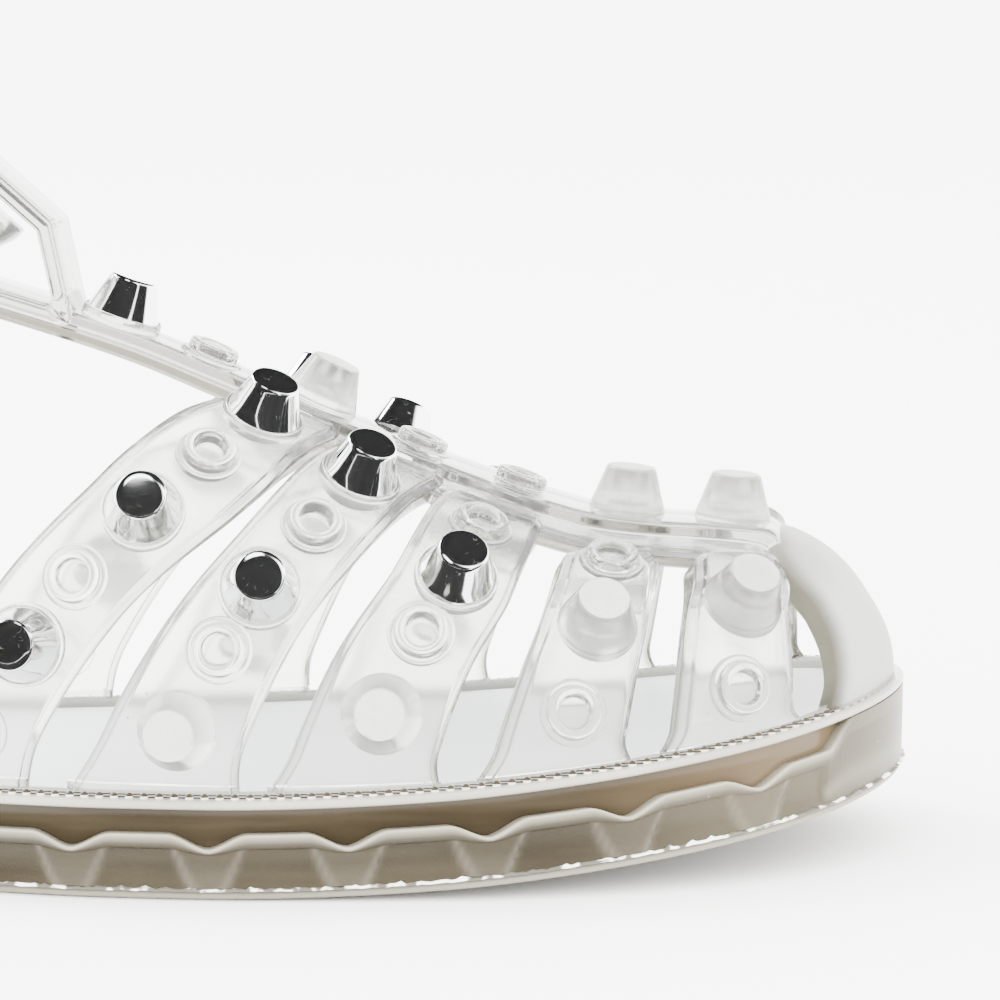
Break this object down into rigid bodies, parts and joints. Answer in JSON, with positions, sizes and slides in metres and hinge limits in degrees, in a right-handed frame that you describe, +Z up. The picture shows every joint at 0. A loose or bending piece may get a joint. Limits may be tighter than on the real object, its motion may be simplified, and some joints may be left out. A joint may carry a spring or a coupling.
{
  "type": "jelly sandal",
  "caption": "Clear moulded cage sandal with a centre strap, a buckled ankle strap, chrome and clear studs and a wavy sole edge.",
  "frame": {"origin": "on the floor, under the middle of the shoe's length, on the flat tread face of the outsole", "axes": "+X from heel to toe, +Y to the medial side, +Z up"},
  "size_m": [0.2504, 0.0976, 0.1097],
  "materials": {
    "clear_pvc": "clear moulded plastic, glossy, softly frosted on the toe cap and the clear studs",
    "footbed_pvc": "pale satin footbed",
    "sole_pvc": "thick clear plastic that looks taupe, glossy wall and frosted panels",
    "chrome": "mirror chrome"
  },
  "bodies": {
    "root": {"upper": "clear_pvc", "ankle_strap": "clear_pvc", "insole": "footbed_pvc", "midsole": "sole_pvc", "outsole": "sole_pvc", "buckle_frame": "chrome", "buckle_prong": "chrome", "strap_rivet": "chrome", "stud_c_lateral_3": "chrome", "stud_c_medial_3": "chrome", "stud_d_lateral_3": "chrome", "stud_d_lateral_5": "chrome", "stud_d_medial_3": "chrome", "stud_d_medial_5": "chrome", "stud_e_lateral_2": "chrome", "stud_e_lateral_4": "chrome", "stud_e_lateral_6": "chrome", "stud_e_medial_2": "chrome", "stud_e_medial_4": "chrome", "stud_e_medial_6": "chrome", "stud_centre_1": "chrome"}
  },
  "joints": []
}
